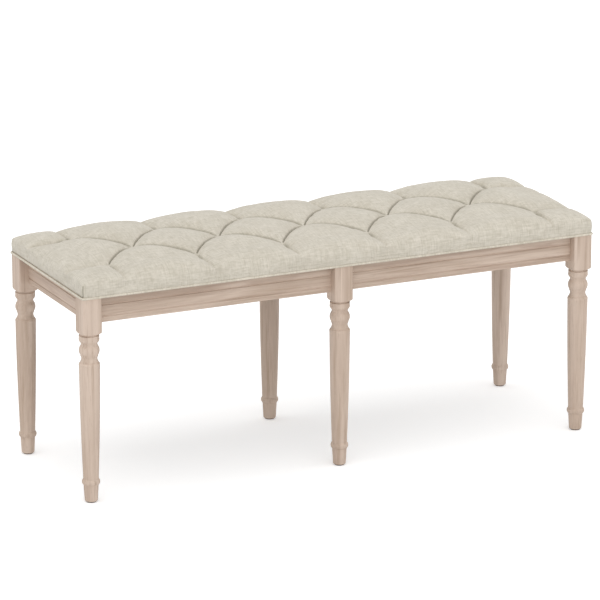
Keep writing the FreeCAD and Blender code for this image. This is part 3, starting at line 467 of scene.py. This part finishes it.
def outward_way(x, y):
    """The direction that the side faces at a point of the flat cloth's border."""
    into_x = abs(x) - (HALF_LENGTH - PLAN_ROUND)
    into_y = abs(y) - (HALF_DEPTH - PLAN_ROUND)
    if into_x > 0 and into_y > 0:
        way = Vector((math.copysign(into_x, x), math.copysign(into_y, y), 0.0))
        return way.normalized()
    if into_x > into_y:
        return Vector((math.copysign(1.0, x), 0.0, 0.0))
    return Vector((0.0, math.copysign(1.0, y), 0.0))


def side_fullness(x, y):
    """From 0 on a pleat to 1 midway between two, for a point of the seat's border."""
    if abs(x) - HALF_LENGTH > abs(y) - HALF_DEPTH:
        place, last, pitch, end = y, TUFT_Y, 2 * TUFT_Y, HALF_DEPTH
    else:
        place, last, pitch, end = x, TUFT_X, TUFT_PITCH, HALF_LENGTH
    if abs(place) > last:
        return math.sin((abs(place) - last) / (end - last) * math.pi / 2) ** SIDE_ROUNDNESS
    return abs(math.sin((place + last) / pitch * math.pi)) ** SIDE_ROUNDNESS


def far_from_pleats(points):
    """How far each point of the flat cloth lies from the nearest pleat."""
    return pleat_distance(np.array([p.x for p in points]), np.array([p.y for p in points]))[0]


def middle_on_pleat(face):
    """Whether a pleat among the tufts runs through the middle of a face of the flat cloth."""
    middle = face.calc_center_median()
    distance, among = pleat_distance(np.array([middle.x]), np.array([middle.y]))
    return among[0] and distance[0] <= FLAT_TOLERANCE


def lies_on_pleat(edge):
    start, end = (vert.co for vert in edge.verts)
    return far_from_pleats([start, end, (start + end) / 2]).max() < FLAT_TOLERANCE


def flat_cloth():
    """The seat's cloth laid flat: a grid with its pleats drawn in, each between narrow rows of its own."""
    columns = grid_places(TUFT_X, 2 * (TUFTS_IN_OUTER_ROWS - 1), LEVEL_X, HALF_LENGTH)
    rows = grid_places(TUFT_Y, 2, LEVEL_Y, HALF_DEPTH)
    bm = bmesh.new()
    bmesh.ops.create_grid(bm, x_segments=len(columns) - 1, y_segments=len(rows) - 1, size=1.0)
    for vert in bm.verts:
        vert.co.x = columns[round((vert.co.x + 1) / 2 * (len(columns) - 1))]
        vert.co.y = rows[round((vert.co.y + 1) / 2 * (len(rows) - 1))]
    for face in [face for face in bm.faces if middle_on_pleat(face)]:
        corners = list(face.verts)
        distances = far_from_pleats([corner.co for corner in corners])
        ends = [corner for corner, distance in zip(corners, distances) if distance < FLAT_TOLERANCE]
        if len(ends) == 2:
            bmesh.utils.face_split(face, ends[0], ends[1])
    bmesh.ops.bevel(
        bm,
        geom=[edge for edge in bm.edges if lies_on_pleat(edge)],
        offset=PLEAT_REACH,
        offset_type="OFFSET",
        segments=PLEAT_SEGMENTS,
        profile=0.5,
        affect="EDGES",
        clamp_overlap=True,
        material=-1,
    )
    return bm


def raise_top(bm, flat, cloth):
    """Lifts the flat cloth to its tufts and pillows, and keeps its flat places as its map."""
    places = np.array([vert.co[:2] for vert in bm.verts])
    heights = seat_height(places[:, 0], places[:, 1])
    backward = bowed_back(places[:, 0], places[:, 1])
    for vert, (x, y), z, back in zip(bm.verts, places, heights, backward):
        vert[flat] = (x, y, 0.0)
        uneven = UNEVEN * noise.noise(Vector((x * UNEVEN_SCALE, y * UNEVEN_SCALE, 3.0)))
        round_x, round_y = round_corner(x, y)
        vert.co = (round_x, round_y + back, z + uneven * min(1.0, (z - SIDE_TOP_Z) / UNEVEN_FADE))
    for face in bm.faces:
        for loop in face.loops:
            loop[cloth].uv = loop.vert[flat][:2]


def extrude_rim(bm, rim):
    """Extrudes the open rim, and returns the new faces, the new rim and the points on it."""
    made = bmesh.ops.extrude_edge_only(bm, edges=rim)["geom"]
    faces = [item for item in made if isinstance(item, bmesh.types.BMFace)]
    rim = [item for item in made if isinstance(item, bmesh.types.BMEdge) and item.is_boundary]
    return faces, rim, {vert for edge in rim for vert in edge.verts}


def side_point(x, y, down):
    """A point of the side under a point of the border, from the top at 0 down to the hem at 1."""
    at_end = abs(x) - HALF_LENGTH > abs(y) - HALF_DEPTH
    bulge = SIDE_BULGE * math.sin(down * math.pi) - (END_HEM_DRAW if at_end else HEM_DRAW) * down**2
    drawn = SIDE_PLEAT_DRAW * (1 - side_fullness(x, y))
    bulge -= drawn * math.sin(min(1.0, down / SIDE_PLEAT_REACH) * math.pi)
    point = Vector((*round_corner(x, y), SIDE_TOP_Z)) + outward_way(x, y) * bulge
    point.z -= SIDE_DROP * down
    return point


def map_side(face, flat, drop, cloth):
    """Lays a face of the side on the cloth's map, past the border that it hangs from."""
    lengthwise = all(abs(vert[flat][1]) > HALF_DEPTH - FLAT_TOLERANCE for vert in face.verts)
    for loop in face.loops:
        x, y, _ = loop.vert[flat]
        below = loop.vert[drop]
        if lengthwise:
            loop[cloth].uv = (x, y + math.copysign(below, y))
        else:
            loop[cloth].uv = (x + math.copysign(below, x), y)


def hang_sides(bm, flat, drop, cloth):
    """Makes the sides, from the border down to the hem, and returns the open rim there."""
    rim = [edge for edge in bm.edges if edge.is_boundary]
    for step in range(1, SIDE_STEPS + 1):
        down = step / SIDE_STEPS
        faces, rim, points = extrude_rim(bm, rim)
        for vert in points:
            x, y, _ = vert[flat]
            vert.co = side_point(x, y, down)
            vert[drop] = SIDE_DROP * down
        for face in faces:
            map_side(face, flat, drop, cloth)
    return rim


def close_underside(bm, rim, flat, sharp):
    """Turns the hem in under the cloth and closes the cushion just above the board."""
    for inset, z in ((COVER_THICK, HEM_Z), (0.0, BOARD_HIGH.z + BOARD_GAP)):
        for edge in rim:
            edge[sharp] = 1.0
        _, rim, points = extrude_rim(bm, rim)
        for vert in points:
            x, y, _ = vert[flat]
            vert.co -= outward_way(x, y) * inset
            vert.co.z = z
    for edge in rim:
        edge[sharp] = 1.0
    made = bmesh.ops.edgeloop_fill(bm, edges=rim)
    bmesh.ops.triangulate(bm, faces=made["faces"])


def make_cushion():
    """The tufted cushion as one closed form: the top, the sides, the hem and the flat underside."""
    bm = flat_cloth()
    flat = bm.verts.layers.float_vector.new("flat")
    drop = bm.verts.layers.float.new("drop")
    cloth = bm.loops.layers.uv.new("cloth")
    sharp = bm.edges.layers.float.new("crease_edge")
    raise_top(bm, flat, cloth)
    rim = hang_sides(bm, flat, drop, cloth)
    close_underside(bm, rim, flat, sharp)
    bmesh.ops.recalc_face_normals(bm, faces=bm.faces)
    mesh = bpy.data.meshes.new("tufted_cushion")
    bm.to_mesh(mesh)
    bm.free()
    piece = bpy.data.objects.new("tufted_cushion", mesh)
    bpy.context.scene.collection.objects.link(piece)
    return piece


def read_points(mesh, name="position"):
    """The values that a mesh keeps for each of its points, as rows of three or as single numbers."""
    attribute = mesh.attributes[name]
    if attribute.data_type == "FLOAT":
        values = np.empty(len(mesh.vertices))
        attribute.data.foreach_get("value", values)
        return values
    values = np.empty(len(mesh.vertices) * 3)
    attribute.data.foreach_get("vector", values)
    return values.reshape(-1, 3)


def write_points(mesh, points):
    mesh.attributes["position"].data.foreach_set("vector", points.ravel())
    mesh.update()


def shown_mesh(piece):
    """A new mesh with what the piece's modifiers show."""
    bpy.context.view_layer.update()
    depsgraph = bpy.context.evaluated_depsgraph_get()
    shown = piece.evaluated_get(depsgraph)
    return bpy.data.meshes.new_from_object(shown, preserve_all_data_layers=True, depsgraph=depsgraph)


def held_shares(mesh):
    """How firmly each point of the cover is held while the cloth settles, from 0 to 1."""
    flat = read_points(mesh, "flat")
    drop = read_points(mesh, "drop")
    distance, among = pleat_distance(flat[:, 0], flat[:, 1])
    top = drop < FLAT_TOLERANCE
    on_pleat = top & (distance < PLEAT_REACH / PLEAT_SEGMENTS)
    hold = np.where(on_pleat, np.where(among, 1.0, OUTER_PLEAT_HOLD), 0.0)
    hold = np.maximum(hold, 1 - smooth_step(tuft_distance(flat[:, 0], flat[:, 1]), *TUFT_HOLD))
    hold = np.where(top, hold, np.maximum(SIDE_HOLD, HEM_HOLD * (drop / SIDE_DROP) ** 4))
    under = read_points(mesh)[:, 2] < HEM_Z + HEM_MARGIN
    return np.where(under, 1.0, hold)


def add_pressure(piece, held):
    """Makes the piece a cloth under a little pressure, held by a group of its points."""
    cloth = piece.modifiers.new("cover_cloth", "CLOTH")
    settings = cloth.settings
    settings.quality = SETTLE_QUALITY
    settings.vertex_group_mass = held.name
    settings.use_pressure = True
    settings.uniform_pressure_force = SETTLE_PRESSURE
    settings.shrink_min = -SETTLE_SLACK
    settings.effector_weights.gravity = 0.0
    cloth.collision_settings.use_collision = False
    cloth.point_cache.frame_start = 1
    cloth.point_cache.frame_end = SETTLE_FRAMES


def settle_cloth(piece):
    """Blows the cover up a little between its tufts, pleats and hem, and keeps the form that it takes."""
    mesh = piece.data
    start = read_points(mesh)
    hold = held_shares(mesh)
    held = piece.vertex_groups.new(name="held")
    for index in np.nonzero(hold > LEAST_HOLD)[0]:
        held.add([int(index)], float(hold[index]), "REPLACE")
    add_pressure(piece, held)
    scene = bpy.context.scene
    for moment in range(1, SETTLE_FRAMES + 1):
        scene.frame_set(moment)
    settled = shown_mesh(piece)
    move = read_points(settled) - start
    piece.modifiers.clear()
    scene.frame_set(1)
    bpy.data.meshes.remove(settled)
    reach = np.linalg.norm(move, axis=1, keepdims=True)
    move *= np.minimum(1.0, SETTLE_REACH / np.maximum(reach, FLAT_TOLERANCE))
    write_points(mesh, start + move)
    piece.vertex_groups.clear()


def subdivide(piece):
    """Makes the cushion's mesh twice as fine."""
    finer = piece.modifiers.new("finer", "SUBSURF")
    finer.levels = finer.render_levels = 1
    mesh = shown_mesh(piece)
    piece.modifiers.clear()
    old = piece.data
    piece.data = mesh
    bpy.data.meshes.remove(old)


def bell(distance, width, power=2):
    """From 1 at no distance down to nearly 0 past the width."""
    return np.exp(-((distance / width) ** power))


def pleat_depths(x, y):
    """How deep in a pleat points of the flat cloth are: in one among the tufts and in one past them."""
    distance = pleat_distance(x, y)[0]
    from_tuft = smooth_step(tuft_distance(x, y), *PLEAT_FADE)
    past = np.maximum(np.abs(x) - TUFT_X, np.abs(y) - TUFT_Y)
    weaker = np.clip(1 - past / EDGE_PLEAT_RUN, LEAST_EDGE_PLEAT, 1)
    return bell(distance, PLEAT_WIDTH) * from_tuft, bell(distance, EDGE_PLEAT_WIDTH) * from_tuft * weaker


def press_pleats(piece):
    """Draws the top of the cloth down along its pleats."""
    mesh = piece.data
    x, y = read_points(mesh, "flat")[:, :2].T
    among = pleat_distance(x, y)[1]
    inner, outer = pleat_depths(x, y)
    top = read_points(mesh, "drop") < FLAT_TOLERANCE
    points = read_points(mesh)
    points[:, 2] -= np.where(top, np.where(among, PLEAT_DEPTH * inner, EDGE_PLEAT_DEPTH * outer), 0.0)
    write_points(mesh, points)


def shade_pleats(piece):
    """Notes for the material how much painted shade each point gets: on a pleat, on its wall or in a
    corner's fold.
    """
    mesh = piece.data
    x, y = read_points(mesh, "flat")[:, :2].T
    drop = read_points(mesh, "drop")
    distance, among = pleat_distance(x, y)
    inner, outer = pleat_depths(x, y)
    from_tuft = smooth_step(tuft_distance(x, y), *PLEAT_FADE)
    # painted shade: a dark line along each pleat and a wider dark band on the wall behind it
    wall = WALL_SHADE * bell(distance, painted_wall_width(x, y), 4)
    on_pleat = np.maximum(bell(distance, PLEAT_SHADE_LINE), wall) * from_tuft
    # painted shade: a dark line down each corner of the sides, where the cloth folds
    corner = np.hypot(HALF_LENGTH - np.abs(x), HALF_DEPTH - np.abs(y))
    fold = bell(corner, CORNER_FOLD_SHADE) * (drop > CORNER_FOLD_SHADE_TOP)
    # painted shade on the pressed pleats past the tufts and down the sides
    shade_on_top = np.where(among, on_pleat, EDGE_SHADE * outer)
    shade_on_side = np.maximum(SIDE_SHADE * np.where(among, inner, outer), fold)
    above_hem = read_points(mesh)[:, 2] > HEM_Z + HEM_MARGIN
    shade = np.where(drop < FLAT_TOLERANCE, shade_on_top, shade_on_side) * above_hem
    attribute = mesh.attributes.new("pleat", "FLOAT", "POINT")
    attribute.data.foreach_set("value", shade)


def smooth_faces(piece):
    mesh = piece.data
    mesh.polygons.foreach_set("use_smooth", [True] * len(mesh.polygons))
    mesh.update()


cushion = make_cushion()
settle_cloth(cushion)
subdivide(cushion)
press_pleats(cushion)
shade_pleats(cushion)
smooth_faces(cushion)

# materials

OAK_PALE = colour(0.655, 0.526, 0.432)
OAK_DARK = colour(0.511, 0.391, 0.307)
leg_oak = oak("leg_oak", 2, colour(0.64, 0.513, 0.422), colour(0.499, 0.381, 0.298))
long_rail_oak = oak("long_rail_oak", 0, OAK_PALE, OAK_DARK, 0.6)
end_rail_oak = oak("end_rail_oak", 1, OAK_PALE, OAK_DARK, 0.6)
inner_wood = raw_wood("inner_wood", 1, colour(0.62, 0.47, 0.32), colour(0.50, 0.36, 0.23))
plywood = raw_wood("plywood", 0, colour(0.66, 0.52, 0.36), colour(0.55, 0.42, 0.27))
bench_linen = linen("bench_linen", colour(0.675, 0.630, 0.545), colour(0.605, 0.560, 0.475))
welt_linen = linen("welt_linen", colour(0.73, 0.675, 0.575), colour(0.65, 0.595, 0.50), has_map=False)
lining = plain_cloth("black_lining", colour(0.016, 0.016, 0.017), colour(0.03, 0.03, 0.031), 900.0)
foam = plain_cloth("foam", colour(0.80, 0.74, 0.55), colour(0.70, 0.64, 0.46), 600.0)
wadding = plain_cloth("wadding", colour(0.85, 0.85, 0.83), colour(0.75, 0.75, 0.73), 300.0)
twine = plain_cloth("waxed_twine", colour(0.68, 0.60, 0.42), colour(0.55, 0.47, 0.32), 1200.0)
zinc = metal("zinc_plate", colour(0.60, 0.60, 0.58), 0.38)
glide_plastic = plain_cloth("glide_plastic", colour(0.060, 0.045, 0.035), colour(0.085, 0.066, 0.05), 500.0)
toggle_plastic = plain_cloth("toggle_plastic", colour(0.78, 0.78, 0.75), colour(0.70, 0.70, 0.67), 500.0)

ROWS = ("front", "back")
FINISHES = (
    (leg_oak, ["leg_" + row + "_" + column for row in ROWS for column in ("left", "middle", "right")]),
    (long_rail_oak, ["front_rail_left", "front_rail_right", "back_rail_left", "back_rail_right"]),
    (end_rail_oak, ["end_rail_left", "end_rail_right"]),
    (inner_wood, ["cross_rail", "rail_dowels"]),
    (inner_wood, ["corner_block_" + row + "_" + side for row in ROWS for side in ("left", "right")]),
    (plywood, ["seat_board"]),
    (lining, ["dust_cover"]),
    (foam, ["foam_pad"]),
    (wadding, ["batting"]),
    (twine, ["tuft_twines"]),
    (zinc, ["corner_bolts", "corner_washers", "corner_nuts", "block_screws", "seat_screws"]),
    (glide_plastic, ["foot_glides"]),
    (toggle_plastic, ["tuft_toggles"]),
    (bench_linen, ["seat_cover"]),
    (welt_linen, ["seat_welt"]),
)


def finish_with(piece, material):
    piece.data.materials.clear()
    piece.data.materials.append(material)


for material, names in FINISHES:
    for name in names:
        finish_with(nodes[name], material)

finish_with(cushion, bench_linen)
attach(cushion, "root")
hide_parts("seat_cover", "batting", "foam_pad")

# floor, light and camera

FLOOR_HALF = 40.0
FLOOR_WHITE = 0.92
SHOWN_WHITE = 0.90
FLOOR_GLOW = 0.33
WORLD_LIGHT = 0.78

# the camera, its angles in degrees
CAMERA_PLACE = (-3.5797, -7.5851, 2.7515)
CAMERA_DOWN = 16.30
CAMERA_TO_THE_RIGHT = 25.21
CAMERA_LENS = 259.6
SENSOR_WIDTH = 36.0
CLIP_NEAR = 0.1
CLIP_FAR = 300.0


def empty_tree(holder):
    """The node tree of a material or a world, emptied."""
    holder.use_nodes = True
    holder.node_tree.nodes.clear()
    return holder.node_tree


def finish_tree(tree, output_kind, usual, shown):
    """Ends a tree in a mix of two shaders, the second for what a picture shows, mirrored or straight."""
    path = add(tree, "ShaderNodeLightPath")
    seen = combine(tree, "MAXIMUM", path.outputs["Is Camera Ray"], path.outputs["Is Glossy Ray"])
    seen = combine(tree, "MAXIMUM", seen, path.outputs["Is Transmission Ray"])
    mixed = add(tree, "ShaderNodeMixShader", {0: seen, 1: usual.outputs[0], 2: shown.outputs[0]})
    output = add(tree, output_kind)
    tree.links.new(mixed.outputs[0], output.inputs["Surface"])


def make_floor_paper():
    """White paper that glows a little in the picture and keeps the bench's shadow."""
    paper = bpy.data.materials.new("floor_paper")
    tree = empty_tree(paper)
    usual = add(tree, "ShaderNodeBsdfDiffuse", {"Color": grey(FLOOR_WHITE)})
    bright = add(tree, "ShaderNodeBsdfDiffuse", {"Color": grey(SHOWN_WHITE)})
    glow = add(tree, "ShaderNodeEmission", {"Color": grey(1.0), "Strength": FLOOR_GLOW})
    shown = add(tree, "ShaderNodeAddShader", {0: bright.outputs[0], 1: glow.outputs[0]})
    finish_tree(tree, "ShaderNodeOutputMaterial", usual, shown)
    return paper


def make_floor():
    mesh = bpy.data.meshes.new("studio_floor")
    bm = bmesh.new()
    bmesh.ops.create_grid(bm, x_segments=1, y_segments=1, size=FLOOR_HALF)
    bm.to_mesh(mesh)
    bm.free()
    mesh.materials.append(make_floor_paper())
    floor = bpy.data.objects.new("studio_floor", mesh)
    bpy.context.scene.collection.objects.link(floor)
    return floor


def light_world():
    """Even soft light from all around, and white where the picture shows past the floor."""
    world = bpy.data.worlds.new("studio")
    bpy.context.scene.world = world
    tree = empty_tree(world)
    soft = add(tree, "ShaderNodeBackground", {"Color": grey(1.0), "Strength": WORLD_LIGHT})
    white = add(tree, "ShaderNodeBackground", {"Color": grey(1.0), "Strength": 1.0})
    finish_tree(tree, "ShaderNodeOutputWorld", soft, white)


def add_softbox(name, energy, spread, height, around):
    """A soft lamp, its height above the horizon and its way around the bench in degrees from the front."""
    lamp = bpy.data.lights.new(name, "SUN")
    lamp.energy = energy
    lamp.angle = math.radians(spread)
    softbox = bpy.data.objects.new(name, lamp)
    softbox.rotation_euler = (math.radians(90 - height), 0.0, math.radians(around))
    bpy.context.scene.collection.objects.link(softbox)


def make_camera():
    """The camera at the photograph's angle, from the left and above."""
    lens = bpy.data.cameras.new("camera")
    lens.sensor_width = SENSOR_WIDTH
    lens.lens = CAMERA_LENS
    lens.clip_start = CLIP_NEAR
    lens.clip_end = CLIP_FAR
    camera = bpy.data.objects.new("camera", lens)
    camera.location = CAMERA_PLACE
    camera.rotation_euler = (math.radians(90 - CAMERA_DOWN), 0.0, math.radians(-CAMERA_TO_THE_RIGHT))
    bpy.context.scene.collection.objects.link(camera)
    return camera


studio_floor = make_floor()
light_world()
add_softbox("overhead_softbox", 0.72, 50, 77, -38)
add_softbox("front_softbox", 0.5, 70, 12, -16)
bpy.context.scene.camera = make_camera()
bpy.context.scene.view_settings.view_transform = "Standard"
